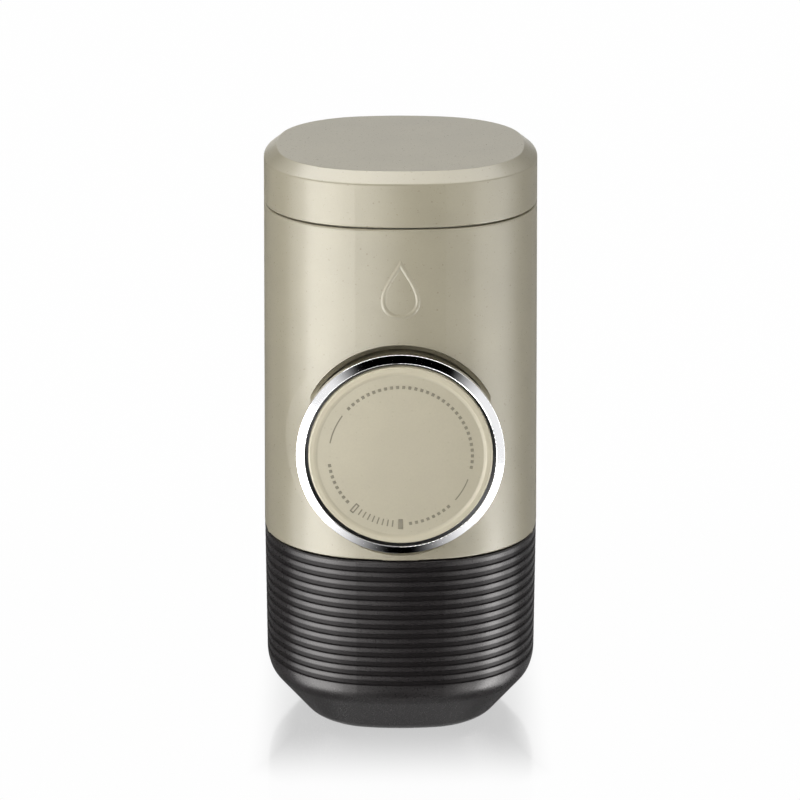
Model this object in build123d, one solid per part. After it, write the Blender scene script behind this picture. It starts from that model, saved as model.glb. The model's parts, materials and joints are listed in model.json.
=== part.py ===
from build123d import *
from math import atan2, cos, degrees, radians, sin, sqrt, tan
import os

# Portable capsule coffee maker, millimetres, +Z up, the origin on the floor at the middle of the foot.
# The round pump knob faces -Y.

# Outline seen from above: a rounded square of four side arcs and four corner arcs
side_share = 1.87419
corner_share = 0.80323
core_half = 12.0

# Heights of the three outer pieces and the seams between them
seam_gap = 0.4
body_height = 74.9
lid_gap = 0.35
lid_height = 11.85
body_draft = 0.65

# Clearances
overrun = 5.0
sliding_clearance = 0.3
seat_clearance = 0.05
running_clearance = 0.08
stop_clearance = 0.3

# Outer walls
shell_wall = 2.2
shell_edge = 0.4
tank_ledge_width = 0.9
tank_ledge_depth = 1.5

# Cup
cup_wall = 2.0
cup_inset = 0.05
cup_lean = 0.25
cup_taper_height = 11.8
cup_floor = 2.2
foot_inset = 10.4
cup_taper_round = 7.0
foot_round = 6.0
cup_rim_edge = 0.45
groove_count = 13
groove_width = 1.25
groove_floor_width = 0.85
groove_depth = 0.4
first_groove_drop = 2.02
last_groove_rise = 3.75

# Lid
lid_top_wall = 2.2
lid_chamfer_width = 2.88
lid_chamfer_height = 2.3
lid_edge = 0.5
lid_post_radius = 2.6
lid_post_spread = 13.0
plug_web = 1.5
plug_wall = 1.6
plug_depth = 6.0
plug_clearance = 0.6
gasket_height = 2.0
gasket_rise = 2.0
gasket_seat_depth = 0.7
vent_stem_radius = 1.2
vent_head_radius = 4.0
vent_head_height = 0.9

# Water tank
tank_wall = 1.5
tank_floor = 1.6
tank_lift = 0.4
outlet_radius = 2.2
strainer_radius = 4.6
strainer_height = 0.8
strainer_hole_radius = 0.5
strainer_hole_inset = 0.2
strainer_hole_count = 6
tank_seal_height = 1.4

# Pump knob: ring, disc and the skirt behind them
knob_share = 0.73226
knob_rise = 1.15
knob_proud = 3.55
ring_width = 1.85
ring_depth = 2.5
ring_bevel = 0.7
ring_edge = 0.12
disc_gap = 0.75
disc_thickness = 1.9
disc_rim = 1.2
disc_dish = 0.2
disc_crown = 0.45
disc_flat_radius = 2.0
disc_edge = 0.45
disc_dish_run = 0.8
skirt_inset = 1.2
skirt_wall = 1.8
skirt_plate = 2.4
hub_radius = 7.0
hub_length = 4.9
lug_count = 3
lug_height = 1.1
lug_thickness = 2.5
lug_arc = 24.0
slot_arc = 30.0

# Well in the body round the knob, and the guide behind it
well_clearance = 1.4
well_depth = 5.0
well_taper = 1.5
boss_wall = 1.4
boss_length = 8.8
guide_wall = 1.2
ledge_thickness = 2.5
guide_tail = 0.7

# Pump block, plunger and springs
pump_bore = 9.0
pump_wall = 3.2
pump_flange = 2.5
pump_end_wall = 2.0
gland_room = 4.0
gland_thickness = 3.0
gland_rim_length = 3.0
gland_rim_wall = 1.3
tower_radius = 5.2
tower_sink = 0.6
pump_tail = 0.8
foot_plate_height = 3.0
foot_plate_half_length = 13.5
rod_radius = 4.0
pin_radius = 3.0
pin_neck_depth = 0.6
clip_radius = 5.4
clip_thickness = 0.7
clip_recess_depth = 1.2
plunger_length = 5.0
plunger_clearance = 0.25
seal_wire = 1.6
seal_groove_depth = 1.5
spring_wire = 1.4
spring_turns = 6

# Check valves
ball_radius = 2.4
valve_bore = 2.9
port_radius = 1.6
insert_radius = 3.7
insert_height = 3.0
inlet_chamber = 8.0
valve_spring_radius = 1.9
valve_spring_wire = 0.5
inlet_spring_turns = 3
outlet_spring_turns = 4

# Bulkhead under the body, with the spigot that the cup pushes on to
bulkhead_plate = 3.0
spigot_depth = 6.0
spigot_wall = 1.5
spigot_clearance = 0.6
cup_seal_wire = 1.6
cup_seal_drop = 5.6
cup_seal_squeeze = 0.05
manifold_rim = 2.8
port_rim = 0.78
manifold_depth = 1.0
post_radius = 3.4
post_height = 8.0
post_inset = 8.5
post_y = 10.3
post_rib_width = 4.6

# Screws
screw_radius = 1.1
screw_head_radius = 2.1
screw_head_height = 1.4
screw_socket_radius = 1.0
screw_socket_depth = 0.8
screw_grip = 5.0
short_screw_grip = 2.2

# Brewing chamber for one capsule, nose up
capsule_depth = 28.6
capsule_rim_radius = 18.9
capsule_rim_width = 3.7
capsule_draft = 2.8
capsule_rim_depth = 1.0
chamber_wall = 2.4
chamber_foot_rim = 1.3
chamber_foot_height = 8.0
chamber_flange_rim = 2.2
chamber_flange_height = 3.0
chamber_screw_count = 3
chamber_seal_step = 1.7
chamber_seal_wire = 1.6
piercer_step = 0.5
piercer_thickness = 0.8
piercer_hole_radius = 0.6
piercer_hole_count = 6
piercer_hole_inset = 3.9
needle_count = 3
needle_radius = 0.9
needle_length = 4.5
needle_inset = 7.3

# Outlet head: a core that drops straight down and the bayonet nut that holds it
bayonet_lug_height = 1.2
bayonet_lug_thickness = 2.4
bayonet_lug_rise = 2.6
bayonet_lug_arc = 40.0
bayonet_lug_count = 3
nut_wall = 1.7
nut_lip = 1.6
nut_mouth_inset = 2.5
nut_room = 5.6
nut_grip_count = 24
nut_grip_radius = 0.7
core_gap = 0.8
core_flange = 1.3
core_flange_inset = 0.2
grid_inset = 0.8
grid_thickness = 0.6
grid_pitch = 4.2
grid_tooth_half = 1.2
grid_tooth_height = 1.1
grid_tooth_tip = 0.25
grid_hole_radius = 0.5
gasket_inset = 0.3
gasket_width = 3.0
nozzle_radius = 4.0
nozzle_bore = 2.0
nozzle_length = 2.4
nozzle_gap = 5.75

# Round pieces of the brewing chamber and its nut, worked out from the capsule's rim
capsule_mouth_radius = capsule_rim_radius - capsule_rim_width
capsule_nose_radius = capsule_mouth_radius - capsule_draft
piercer_radius = capsule_nose_radius + piercer_step
piercer_hole_spread = piercer_radius - piercer_hole_inset
needle_spread = piercer_radius - needle_inset
chamber_seal_radius = piercer_radius + chamber_seal_step
chamber_radius = capsule_mouth_radius + chamber_wall
chamber_screw_radius = chamber_radius + sliding_clearance + screw_head_radius
chamber_flange_radius = chamber_screw_radius + chamber_flange_rim
chamber_foot_radius = capsule_rim_radius + chamber_foot_rim
bayonet_radius = chamber_foot_radius + bayonet_lug_height
nut_bore = bayonet_radius + sliding_clearance
nut_radius = nut_bore + nut_wall
core_flange_radius = chamber_foot_radius - core_flange_inset
nut_mouth_radius = core_flange_radius - nut_mouth_inset
gasket_outer_radius = capsule_rim_radius - gasket_inset
gasket_inner_radius = gasket_outer_radius - gasket_width
grid_radius = gasket_inner_radius - grid_inset
manifold_radius = chamber_seal_radius - chamber_seal_wire / 2 - manifold_rim

# Heights from the cup's floor up, through the nozzle, the capsule and the bulkhead
core_bottom = cup_floor + nozzle_gap + nozzle_length
core_top = core_bottom + core_flange
nut_bottom = core_bottom - seat_clearance - nut_lip
chamber_bottom = core_top + core_gap
piercer_bottom = chamber_bottom + capsule_depth
chamber_top = piercer_bottom + piercer_thickness
lug_low = chamber_bottom + bayonet_lug_rise
lug_high = lug_low + bayonet_lug_thickness
nut_lug_low = lug_high + stop_clearance
nut_top = nut_lug_low + bayonet_lug_thickness
bulkhead_bottom = chamber_top
bulkhead_top = bulkhead_bottom + bulkhead_plate
body_bottom = bulkhead_top
cup_height = body_bottom - seam_gap
groove_span = cup_height - first_groove_drop - cup_taper_height - last_groove_rise
groove_pitch = groove_span / (groove_count - 1)

# The outline is as wide as the nut, the room round it and the cup's wall
half = nut_radius + nut_room + cup_wall
side_radius = half * side_share
corner_radius = half * corner_share
side_centre = half - side_radius
corner_centre = (side_centre + sqrt(2 * (side_radius - corner_radius) ** 2 - side_centre**2)) / 2
side_angle = degrees(atan2(corner_centre, corner_centre - side_centre))
body_top = body_bottom + body_height
lid_bottom = body_top + lid_gap
lid_top = lid_bottom + lid_height
lean = body_draft / body_height


def shell_half(height):
    """Half the body's width at a height, with the draft of the mould."""
    return half - lean * (height - body_bottom)


def face_of(points):
    """A flat section, half-width across and height up, standing in the XZ plane."""
    return Plane.XZ * make_face(Polyline(*points, close=True))


def turned(points, arc=360):
    """A body of revolution about Z from (radius, height) points."""
    return revolve(face_of(points), Axis.Z, arc)


def drum(radius, low, high):
    """A plain cylinder about Z between two heights."""
    return Pos(0, 0, low) * Cylinder(radius, high - low, align=(Align.CENTER, Align.CENTER, Align.MIN))


def tube(inner, outer, low, high):
    """A plain tube about Z between two heights."""
    return drum(outer, low, high) - drum(inner, low - overrun, high + overrun)


def outline(half_width):
    """The rounded square as a flat face: the outer outline, offset to a half-width."""
    inset = half - half_width
    edges = []
    for quarter in range(4):
        turn = Rot(0, 0, 90 * quarter)
        side = CenterArc((side_centre, 0), side_radius - inset, -side_angle, 2 * side_angle)
        corner_arc = 90 - 2 * side_angle
        corner_at = (corner_centre, corner_centre)
        corner = CenterArc(corner_at, corner_radius - inset, side_angle, corner_arc)
        edges += [turn * side, turn * corner]
    return make_face(edges)


def slab(half_width, low, high):
    """A plate of the rounded-square outline between two heights."""
    return Pos(0, 0, low) * extrude(outline(half_width), high - low)


def ring_wall(section):
    """Carries a wall section, half-width across, once round the rounded square."""
    side_axis = Axis((side_centre, 0, 0), (0, 0, 1))
    corner_axis = Axis((corner_centre, corner_centre, 0), (0, 0, 1))
    side = revolve(section.rotate(side_axis, -side_angle), side_axis, 2 * side_angle)
    shift = Pos(corner_centre + corner_radius - half, corner_centre, 0)
    corner_section = (shift * section).rotate(corner_axis, side_angle)
    corner = revolve(corner_section, corner_axis, 90 - 2 * side_angle)
    pieces = [Rot(0, 0, 90 * quarter) * piece for quarter in range(4) for piece in (side, corner)]
    return pieces[0].fuse(*pieces[1:])


def rounded(section, corner, radius):
    """The section with the corner nearest a (half-width, height) point rounded."""
    target = Vector(corner[0], 0, corner[1])
    nearest = min(section.vertices(), key=lambda vertex: (Vector(*vertex) - target).length)
    return fillet(nearest, radius)


def around(count, radius, start=90.0):
    """Places spaced evenly on a circle about Z."""
    return [Rot(0, 0, start + 360 * step / count) * Pos(radius, 0, 0) for step in range(count)]


def coil_path(radius, low, high, turns):
    """A helix about Z made of biarcs, two for each quarter turn."""
    climb = (high - low) / (360 * turns)

    def point(angle):
        return Vector(radius * cos(radians(angle)), radius * sin(radians(angle)), low + climb * angle)

    def heading(angle):
        rise = degrees(climb)
        return Vector(-radius * sin(radians(angle)), radius * cos(radians(angle)), rise).normalized()

    arcs = []
    for quarter in range(4 * turns):
        start, end = point(90 * quarter), point(90 * quarter + 90)
        leave, arrive = heading(90 * quarter), heading(90 * quarter + 90)
        chord = end - start
        spread = 2 - 2 * leave.dot(arrive)
        reach = chord.dot(leave + arrive)
        arm = (sqrt(reach**2 + spread * chord.dot(chord)) - reach) / spread
        first_corner = start + leave * arm
        second_corner = end - arrive * arm
        joint = (first_corner + second_corner) / 2
        arcs.append(Edge.make_tangent_arc(start, leave, joint))
        arcs.append(Edge.make_tangent_arc(joint, second_corner - first_corner, end))
    return Wire(arcs)


def coil(name, radius, wire, low, high, turns):
    """One unbroken coil of round wire between two seat faces."""
    path = coil_path(radius, low + wire / 2, high - wire / 2, turns)
    start = Plane(origin=path.position_at(0), z_dir=path.tangent_at(0))
    solid = sweep(start * Circle(wire / 2), path=path)
    per_turn = 24
    points = [path.position_at(step / (per_turn * turns)) for step in range(per_turn * turns + 1)]
    half_turn = per_turn // 2
    spans = [(b - a).length for step, a in enumerate(points) for b in points[step + half_turn :]]
    print(f"{name}: least gap between turns {min(spans) - wire:.2f} mm")
    return solid


def screw(grip):
    """A socket screw along +Z with the underside of its head at the origin."""
    solid = drum(screw_radius, 0, grip) + drum(screw_head_radius, -screw_head_height, 0)
    socket = extrude(RegularPolygon(screw_socket_radius, 6), screw_socket_depth)
    return solid - Pos(0, 0, -screw_head_height) * socket


def screw_hole(grip):
    """The room that a screw takes up, with its clearance."""
    radius = screw_radius + seat_clearance
    return drum(radius, -overrun, grip + seat_clearance)


# Radii of the knob and of what guides it, and its height
knob_radius = half * knob_share
skirt_radius = knob_radius - skirt_inset
ring_bore = knob_radius - ring_width
lug_radius = skirt_radius + lug_height
well_radius = knob_radius + well_clearance
boss_radius = well_radius + boss_wall
guide_bore = lug_radius + sliding_clearance
guide_radius = guide_bore + guide_wall
pump_radius = pump_bore + pump_wall
spring_radius = (pump_radius + skirt_radius - skirt_wall) / 2
knob_height = body_bottom + well_radius + knob_rise

# Knob axis places, measured along Y from the middle of the body, the front being negative.
# The knob's stroke is the way from its lugs forward to the boss.
front_line = -shell_half(knob_height)
knob_face = front_line - knob_proud
ring_back = knob_face + ring_depth
disc_back = knob_face + disc_thickness
plate_back = ring_back + skirt_plate
hub_back = plate_back + hub_length
well_floor = front_line + well_depth
tower_y = manifold_radius - port_radius - port_rim
flange_back = tower_y - tower_radius + tower_sink
guide_back = flange_back - pump_flange
lug_back = guide_back - guide_tail
lug_front = lug_back - lug_thickness
boss_back = well_floor + boss_length
pump_front = hub_back + gland_room + gland_thickness
pump_back = tower_y + tower_radius + pump_tail
bore_end = pump_back - pump_end_wall
knob_frame = Pos(0, 0, knob_height) * Rot(-90, 0, 0)
lug_starts = [90 + 360 * step / lug_count for step in range(lug_count)]

# Heights inside the body
tank_bottom = knob_height + boss_radius + tank_lift
tank_inside = tank_bottom + tank_floor
tower_top = tank_bottom - tank_seal_height
inlet_seat_z = tower_top - insert_height
inlet_ledge_z = inlet_seat_z - inlet_chamber
outlet_seat_z = knob_height - pump_radius
outlet_ledge_z = bulkhead_top + insert_height
ball_drop = sqrt(ball_radius**2 - port_radius**2) + seat_clearance
spring_reach = sqrt((ball_radius + valve_spring_wire / 2) ** 2 - valve_spring_radius**2)
tower_place = Pos(0, tower_y, 0)
post_x = half - post_inset
post_places = [(x, y) for x in (-post_x, post_x) for y in (-post_y, post_y)]


def body_shell():
    """The drafted outer wall with the knob's tapered well, the boss behind it and four screw posts."""
    bottom_half = shell_half(body_bottom)
    top_half = shell_half(body_top)
    ledge_z = body_top - tank_ledge_depth
    ledge_half = shell_half(ledge_z) - shell_wall
    section = face_of(
        [
            (bottom_half - shell_wall, body_bottom),
            (bottom_half, body_bottom),
            (top_half, body_top),
            (ledge_half + tank_ledge_width, body_top),
            (ledge_half + tank_ledge_width, ledge_z),
            (ledge_half, ledge_z),
        ]
    )
    section = rounded(section, (bottom_half, body_bottom), shell_edge)
    section = rounded(section, (top_half, body_top), shell_edge)
    filled = face_of(
        [(core_half, body_bottom), (bottom_half, body_bottom), (top_half, body_top), (core_half, body_top)]
    )
    envelope = ring_wall(filled) + slab(core_half + overrun, body_bottom, body_top)
    inside = knob_frame * drum(boss_radius, front_line - overrun, boss_back)
    for x, y in post_places:
        post = Pos(x, y, 0) * drum(post_radius, body_bottom, body_bottom + post_height)
        side = 1 if x > 0 else -1
        rib_length = half - post_x - shell_wall / 2
        rib = Pos(x + side * rib_length / 2, y, body_bottom + post_height / 2)
        inside += post + rib * Box(rib_length, post_rib_width, post_height)
    solid = ring_wall(section) + (inside & envelope)
    well_front = front_line - overrun
    well_mouth = well_radius + well_taper * overrun / well_depth
    floor_radius = well_radius - well_taper
    well = turned([(0, well_front), (well_mouth, well_front), (floor_radius, well_floor), (0, well_floor)])
    solid -= knob_frame * well
    solid -= knob_frame * drum(skirt_radius + sliding_clearance, well_front, boss_back + overrun)
    for x, y in post_places:
        solid -= Pos(x, y, body_bottom) * screw_hole(screw_grip)
    return solid


def knob_guide():
    """The sleeve behind the well: three slots let the lugs past, three ledges hold them."""
    solid = tube(guide_bore, guide_radius, boss_back, guide_back)
    ledge_back = lug_front - stop_clearance
    ledge_front = ledge_back - ledge_thickness
    ledge_bore = skirt_radius + sliding_clearance
    solid += tube(ledge_bore, guide_bore + guide_wall / 2, ledge_front, ledge_back)
    slot_points = [(0, ledge_front), (guide_bore, ledge_front), (guide_bore, ledge_back), (0, ledge_back)]
    for start in lug_starts:
        solid -= Rot(0, 0, start - slot_arc / 2) * turned(slot_points, slot_arc)
    return knob_frame * solid


def knob_skirt():
    """The knob's hollow body: front plate, hub, skirt and three bayonet lugs."""
    inner = skirt_radius - skirt_wall
    pin_bore = pin_radius + running_clearance
    spigot = ring_bore - seat_clearance
    recess = clip_radius + sliding_clearance
    recess_floor = disc_back + clip_recess_depth
    solid = turned(
        [
            (pin_bore, recess_floor),
            (recess, recess_floor),
            (recess, disc_back),
            (spigot, disc_back),
            (spigot, ring_back),
            (skirt_radius, ring_back),
            (skirt_radius, lug_back),
            (inner, lug_back),
            (inner, plate_back),
            (hub_radius, plate_back),
            (hub_radius, hub_back),
            (pin_bore, hub_back),
        ]
    )
    root = skirt_radius - skirt_wall / 2
    lug = [(root, lug_front), (lug_radius, lug_front), (lug_radius, lug_back), (root, lug_back)]
    for start in lug_starts:
        solid += Rot(0, 0, start - lug_arc / 2) * turned(lug, lug_arc)
    return knob_frame * solid


def knob_ring():
    """The bright ring, bevelled outwards."""
    outer_front = knob_face + ring_bevel
    section = face_of(
        [(ring_bore, knob_face), (knob_radius, outer_front), (knob_radius, ring_back), (ring_bore, ring_back)]
    )
    section = rounded(section, (ring_bore, knob_face), ring_edge)
    section = rounded(section, (knob_radius, outer_front), ring_edge)
    return knob_frame * revolve(section, Axis.Z)


def knob_disc():
    """The thumb disc: a raised rim round a sunk face with a shallow crown."""
    radius = ring_bore - disc_gap
    rim_inner = radius - disc_rim
    dish_floor = knob_face + disc_dish
    face_edge = rim_inner - disc_dish_run
    crown_front = dish_floor - disc_crown
    crown_reach = face_edge - disc_flat_radius
    crown_radius = (crown_reach**2 + disc_crown**2) / (2 * disc_crown)
    crown_arc = degrees(atan2(crown_reach, crown_radius - disc_crown))
    crown = CenterArc((disc_flat_radius, crown_front + crown_radius), crown_radius, -90, crown_arc)
    sides = Polyline(
        (face_edge, dish_floor),
        (rim_inner, knob_face),
        (radius, knob_face),
        (radius, disc_back),
        (0, disc_back),
        (0, crown_front),
        (disc_flat_radius, crown_front),
    )
    section = Plane.XZ * make_face([crown, *sides.edges()])
    section = rounded(section, (face_edge, dish_floor), disc_dish_run)
    section = rounded(section, (rim_inner, knob_face), disc_edge / 2)
    section = rounded(section, (radius, knob_face), disc_edge)
    return knob_frame * revolve(section, Axis.Z)


def piston_rod():
    """Rod and plunger head; the knob turns on the pin at its front."""
    head_back = tower_y - port_radius - sliding_clearance
    head_front = head_back - plunger_length
    head_radius = pump_bore - plunger_clearance
    groove_front = (head_front + head_back - seal_wire) / 2 - seat_clearance
    groove_back = groove_front + seal_wire + 2 * seat_clearance
    groove_radius = head_radius - seal_groove_depth
    neck = pin_radius - pin_neck_depth
    clip_front = disc_back + sliding_clearance
    clip_back = clip_front + clip_thickness
    shoulder = hub_back + running_clearance
    pin_front = disc_back + stop_clearance / 2
    return knob_frame * turned(
        [
            (0, pin_front),
            (pin_radius, pin_front),
            (pin_radius, clip_front - seat_clearance),
            (neck, clip_front - seat_clearance),
            (neck, clip_back + seat_clearance),
            (pin_radius, clip_back + seat_clearance),
            (pin_radius, shoulder),
            (rod_radius, shoulder),
            (rod_radius, head_front),
            (head_radius, head_front),
            (head_radius, groove_front),
            (groove_radius, groove_front),
            (groove_radius, groove_back),
            (head_radius, groove_back),
            (head_radius, head_back),
            (0, head_back),
        ]
    )


def piston_seal():
    """The plunger's sealing ring."""
    middle = tower_y - port_radius - sliding_clearance - plunger_length / 2
    outer = pump_bore - seat_clearance
    ring = Torus(outer - seal_wire / 2, seal_wire / 2)
    return knob_frame * Pos(0, 0, middle) * ring


def knob_clip():
    """The clip that keeps the knob on the rod's pin."""
    front = disc_back + sliding_clearance
    inner = pin_radius - pin_neck_depth + seat_clearance
    ring = tube(inner, clip_radius, front, front + clip_thickness)
    mouth_width = 2 * inner - pin_neck_depth
    mouth = Box(clip_radius, mouth_width, clip_thickness)
    mouth = Pos(clip_radius / 2, 0, front + clip_thickness / 2) * mouth
    return knob_frame * (ring - mouth)


def pump_block():
    """The moulded block: cylinder, round flange, valve towers and screw foot."""
    barrel = drum(pump_radius, pump_front, pump_back) + drum(guide_radius, guide_back, flange_back)
    solid = knob_frame * barrel
    solid += tower_place * drum(tower_radius, bulkhead_top, tower_top)
    foot_depth = pump_back - guide_back
    foot = Box(2 * foot_plate_half_length, foot_depth, foot_plate_height)
    solid += Pos(0, guide_back + foot_depth / 2, bulkhead_top + foot_plate_height / 2) * foot
    solid -= knob_frame * drum(pump_bore, pump_front - overrun, bore_end)
    solid -= tower_place * drum(port_radius, bulkhead_top - overrun, tower_top + overrun)
    solid -= tower_place * drum(valve_bore, inlet_ledge_z, tower_top)
    solid -= tower_place * drum(insert_radius, inlet_seat_z, tower_top + overrun)
    solid -= tower_place * drum(valve_bore, bulkhead_top, outlet_seat_z)
    solid -= tower_place * drum(insert_radius, bulkhead_top - overrun, outlet_ledge_z)
    for place in pump_screw_places():
        solid -= place * screw_hole(bulkhead_plate + foot_plate_height)
    return solid


def pump_screw_places():
    """Screws through the pump's foot, heads up."""
    x = (foot_plate_half_length + tower_radius) / 2
    z = bulkhead_top + foot_plate_height
    return [Pos(side * x, tower_y, z) * Rot(180, 0, 0) for side in (-1, 1)]


def rod_gland():
    """The cap on the pump's front that guides the rod."""
    cap_front = pump_front - gland_thickness
    rim_inner = pump_radius + seat_clearance
    rod_hole = rod_radius + running_clearance
    return knob_frame * turned(
        [
            (rod_hole, cap_front),
            (rim_inner + gland_rim_wall, cap_front),
            (rim_inner + gland_rim_wall, pump_front + gland_rim_length),
            (rim_inner, pump_front + gland_rim_length),
            (rim_inner, pump_front),
            (rod_hole, pump_front),
        ]
    )


def valve_insert(low):
    """A ported ring that closes a valve chamber."""
    ring = tube(port_radius, insert_radius - seat_clearance, low, low + insert_height)
    return tower_place * ring


def valve_ball(seat_z):
    """A ball just clear of the seat above it."""
    return tower_place * Pos(0, 0, seat_z - ball_drop) * Sphere(ball_radius)


def valve_spring(name, seat_z, ledge_z, turns):
    """The light coil under a valve ball."""
    top = seat_z - ball_drop - spring_reach + valve_spring_wire / 2 - seat_clearance
    low = ledge_z + seat_clearance
    return tower_place * coil(name, valve_spring_radius, valve_spring_wire, low, top, turns)


def piston_spring():
    """The return coil between the pump flange and the knob's front plate."""
    low = plate_back + seat_clearance
    high = guide_back - seat_clearance
    return knob_frame * coil("piston_spring", spring_radius, spring_wire, low, high, spring_turns)


def bulkhead():
    """The plate under the body, its manifold and the spigot for the cup."""
    spigot_half = cup_half(cup_height) - cup_wall - spigot_clearance
    inner_half = spigot_half - spigot_wall
    spigot_low = bulkhead_bottom - spigot_depth
    groove_z = bulkhead_top - cup_seal_drop
    groove_half = cup_seal_outer() - cup_seal_wire
    groove_room = cup_seal_wire / 2 + seat_clearance
    section = face_of(
        [
            (inner_half, spigot_low),
            (spigot_half, spigot_low),
            (spigot_half, groove_z - groove_room),
            (groove_half - seat_clearance, groove_z - groove_room),
            (groove_half - seat_clearance, groove_z + groove_room),
            (spigot_half, groove_z + groove_room),
            (spigot_half, bulkhead_top),
            (inner_half, bulkhead_top),
        ]
    )
    solid = ring_wall(section) + slab(inner_half + spigot_wall / 2, bulkhead_bottom, bulkhead_top)
    solid -= drum(manifold_radius, bulkhead_bottom - overrun, bulkhead_bottom + manifold_depth)
    solid -= tower_place * drum(port_radius, bulkhead_bottom - overrun, bulkhead_top + overrun)
    for x, y in post_places:
        solid -= Pos(x, y, bulkhead_bottom) * screw_hole(bulkhead_plate + overrun)
    for place in pump_screw_places():
        solid -= place * screw_hole(screw_grip)
    for place in chamber_screw_places():
        solid -= place * screw_hole(chamber_flange_height + short_screw_grip)
    return solid


def cup_half(height):
    """Half the cup's width above its taper."""
    share = (cup_height - height) / (cup_height - cup_taper_height)
    return half - cup_inset - cup_lean * share


def cup_seal_outer():
    """Outer half-width of the sealing ring, just inside the cup's mouth."""
    return cup_half(bulkhead_top - cup_seal_drop) - cup_wall - cup_seal_squeeze


def cup_seal():
    """The ring on the spigot that grips the cup."""
    z = bulkhead_top - cup_seal_drop
    centre = cup_seal_outer() - cup_seal_wire / 2
    section = Plane.XZ * Pos(centre, z) * Circle(cup_seal_wire / 2)
    return ring_wall(section)


def cup():
    """The ribbed cup: grooved wall, tapered lower edge and flat foot."""
    foot_half = half - foot_inset
    taper_half = cup_half(cup_taper_height)
    slope = atan2(taper_half - foot_half, cup_taper_height)
    rim_half = cup_half(cup_height)
    outer = [(rim_half, cup_height)]
    for step in range(groove_count):
        z = cup_height - first_groove_drop - groove_pitch * step
        top, bottom = z + groove_width / 2, z - groove_width / 2
        floor_top, floor_bottom = z + groove_floor_width / 2, z - groove_floor_width / 2
        outer += [
            (cup_half(top), top),
            (cup_half(floor_top) - groove_depth, floor_top),
            (cup_half(floor_bottom) - groove_depth, floor_bottom),
            (cup_half(bottom), bottom),
        ]
    outer += [(taper_half, cup_taper_height), (foot_half, 0), (core_half, 0)]
    inner_start_z = cup_taper_height + cup_wall * tan(slope / 2)
    inner_start = cup_half(inner_start_z) - cup_wall
    inner_floor = inner_start - (inner_start_z - cup_floor) * tan(slope)
    inner = [
        (core_half, cup_floor),
        (inner_floor, cup_floor),
        (inner_start, inner_start_z),
        (rim_half - cup_wall, cup_height),
    ]
    section = face_of(outer + inner)
    section = rounded(section, (rim_half, cup_height), cup_rim_edge)
    section = rounded(section, (taper_half, cup_taper_height), cup_taper_round)
    section = rounded(section, (foot_half, 0), foot_round)
    section = rounded(section, (inner_start, inner_start_z), cup_taper_round - cup_wall)
    section = rounded(section, (inner_floor, cup_floor), foot_round - cup_wall)
    return ring_wall(section) + slab(core_half + overrun, 0, cup_floor)


def lid_shell():
    """The tank's cap: drafted skirt, chamfered flat top and four posts."""
    bottom_half = shell_half(lid_bottom)
    top_half = shell_half(lid_top)
    under = lid_top - lid_top_wall
    chamfer_low = lid_top - lid_chamfer_height
    section = face_of(
        [
            (bottom_half - shell_wall, lid_bottom),
            (bottom_half, lid_bottom),
            (shell_half(chamfer_low), chamfer_low),
            (top_half - lid_chamfer_width, lid_top),
            (core_half, lid_top),
            (core_half, under),
            (top_half - shell_wall - lid_chamfer_width, under),
            (shell_half(under) - shell_wall, under - lid_chamfer_height),
        ]
    )
    section = rounded(section, (bottom_half, lid_bottom), shell_edge)
    section = rounded(section, (shell_half(chamfer_low), chamfer_low), lid_edge)
    section = rounded(section, (top_half - lid_chamfer_width, lid_top), lid_edge)
    solid = ring_wall(section) + slab(core_half + overrun, under, lid_top)
    for place in lid_screw_places():
        post = drum(lid_post_radius, plug_top(), under + lid_top_wall / 2)
        solid += Pos(place.position.X, place.position.Y, 0) * post
        solid -= place * screw_hole(plug_web + screw_grip)
    return solid


def plug_top():
    """Upper face of the plug's web, which rests on the tank's rim."""
    return body_top + seat_clearance + plug_web


def lid_screw_places():
    """Screws up through the plug's web into the cap's posts."""
    z = plug_top() - plug_web
    spread = lid_post_spread
    return [Pos(x, y, z) for x in (-spread, spread) for y in (-spread, spread)]


def tank_half():
    """Half-width of the tank's inside."""
    return shell_half(body_top) - shell_wall - sliding_clearance - tank_wall


def lid_plug():
    """The web under the cap and the ring that reaches into the tank."""
    web_half = shell_half(lid_bottom) - shell_wall - sliding_clearance
    web_low = plug_top() - plug_web
    ring_half = tank_half() - plug_clearance
    ring_low = web_low - plug_depth
    seat_z = ring_low + gasket_rise
    seat_half = tank_half() - seat_clearance - gasket_seat_depth - plug_clearance
    section = face_of(
        [
            (core_half, web_low),
            (ring_half - plug_wall, web_low),
            (ring_half - plug_wall, ring_low),
            (ring_half, ring_low),
            (ring_half, seat_z),
            (seat_half, seat_z),
            (seat_half, seat_z + gasket_height),
            (ring_half, seat_z + gasket_height),
            (ring_half, web_low),
            (web_half, web_low),
            (web_half, plug_top()),
            (core_half, plug_top()),
        ]
    )
    solid = ring_wall(section) + slab(core_half + overrun, web_low, plug_top())
    solid -= drum(vent_stem_radius + seat_clearance, web_low - overrun, plug_top() + overrun)
    for place in lid_screw_places():
        solid -= place * screw_hole(plug_web + overrun)
    return solid


def lid_gasket():
    """The soft ring round the plug."""
    outer = tank_half() - seat_clearance
    seat_half = outer - gasket_seat_depth - plug_clearance
    low = plug_top() - plug_web - plug_depth + gasket_rise + seat_clearance
    high = low + gasket_height - 2 * seat_clearance
    middle = (low + high) / 2
    seat = seat_half + seat_clearance
    shoulder = outer - plug_clearance
    section = face_of([(seat, low), (shoulder, low), (outer, middle), (shoulder, high), (seat, high)])
    return ring_wall(section)


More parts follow.
